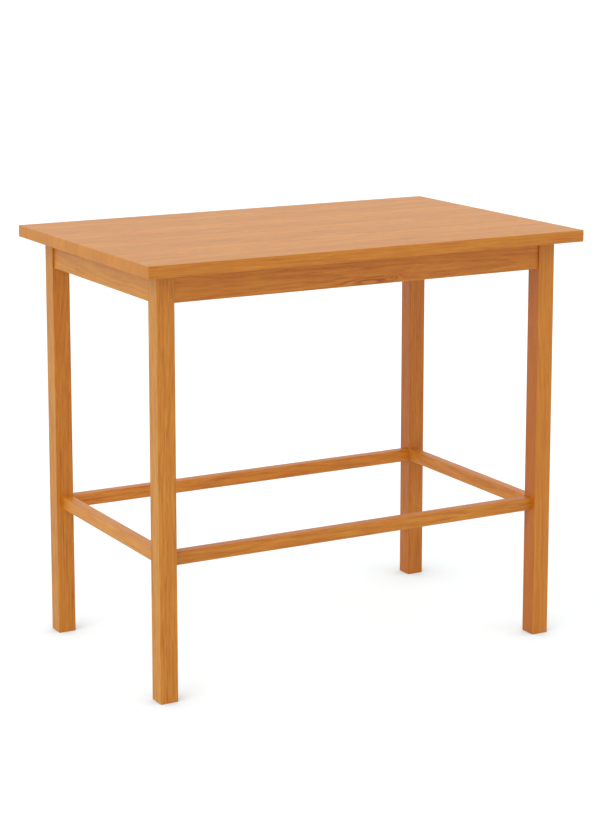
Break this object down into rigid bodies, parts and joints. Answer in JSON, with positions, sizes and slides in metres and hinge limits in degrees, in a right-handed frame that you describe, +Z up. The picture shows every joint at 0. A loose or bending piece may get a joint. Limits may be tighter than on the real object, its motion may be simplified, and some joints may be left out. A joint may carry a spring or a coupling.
{
  "type": "bar table",
  "caption": "Bar-height table of solid wood: rectangular edge-glued top on straight square legs, with aprons under the top and a foot rail all round.",
  "frame": {"origin": "on the floor under the middle of the top", "axes": "+X along the long side, +Y from the front to the back, +Z up"},
  "size_m": [1.2, 0.77, 1.055],
  "materials": {
    "top_wood": "stained pine, satin lacquer",
    "leg_wood": "stained pine, satin lacquer",
    "apron_wood": "stained pine, satin lacquer",
    "stretcher_wood": "stained pine, satin lacquer",
    "inner_wood": "bare planed softwood",
    "screw_steel": "yellow zinc plate"
  },
  "bodies": {
    "root": {"apron_back": "apron_wood", "apron_front": "apron_wood", "apron_left": "apron_wood", "apron_right": "apron_wood", "button_back_1": "inner_wood", "button_back_2": "inner_wood", "button_back_3": "inner_wood", "button_front_1": "inner_wood", "button_front_2": "inner_wood", "button_front_3": "inner_wood", "button_left_1": "inner_wood", "button_right_1": "inner_wood", "button_screws": "screw_steel", "corner_block_back_left": "inner_wood", "corner_block_back_right": "inner_wood", "corner_block_front_left": "inner_wood", "corner_block_front_right": "inner_wood", "corner_block_screws": "screw_steel", "leg_back_left": "leg_wood", "leg_back_right": "leg_wood", "leg_front_left": "leg_wood", "leg_front_right": "leg_wood", "stretcher_back": "stretcher_wood", "stretcher_front": "stretcher_wood", "stretcher_left": "stretcher_wood", "stretcher_right": "stretcher_wood", "top_stave_01": "top_wood", "top_stave_02": "top_wood", "top_stave_03": "top_wood", "top_stave_04": "top_wood", "top_stave_05": "top_wood", "top_stave_06": "top_wood", "top_stave_07": "top_wood", "top_stave_08": "top_wood", "top_stave_09": "top_wood", "top_stave_10": "top_wood"}
  },
  "joints": []
}
